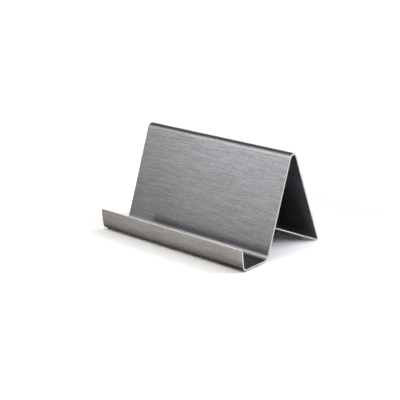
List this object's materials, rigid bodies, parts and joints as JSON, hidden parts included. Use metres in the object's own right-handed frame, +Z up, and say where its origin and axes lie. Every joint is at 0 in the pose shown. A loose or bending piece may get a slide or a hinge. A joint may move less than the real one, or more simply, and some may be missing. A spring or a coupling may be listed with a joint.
{
  "type": "business card holder",
  "caption": "Desk stand for business cards, folded from one brushed steel sheet: a low lip, a tray, a leaning back and a rear leg.",
  "frame": {"origin": "on the desk, under the middle of the holder's footprint", "axes": "+X along the cards, to the right as seen from the lip; +Y from the lip to the rear leg; +Z up"},
  "size_m": [0.095, 0.064, 0.0514],
  "materials": {
    "brushed_stainless": "brushed lengthwise",
    "pad_rubber": "matte"
  },
  "bodies": {
    "root": {"folded_sheet": "brushed_stainless", "anti_slip_pad_left": "pad_rubber", "anti_slip_pad_right": "pad_rubber"}
  },
  "joints": []
}
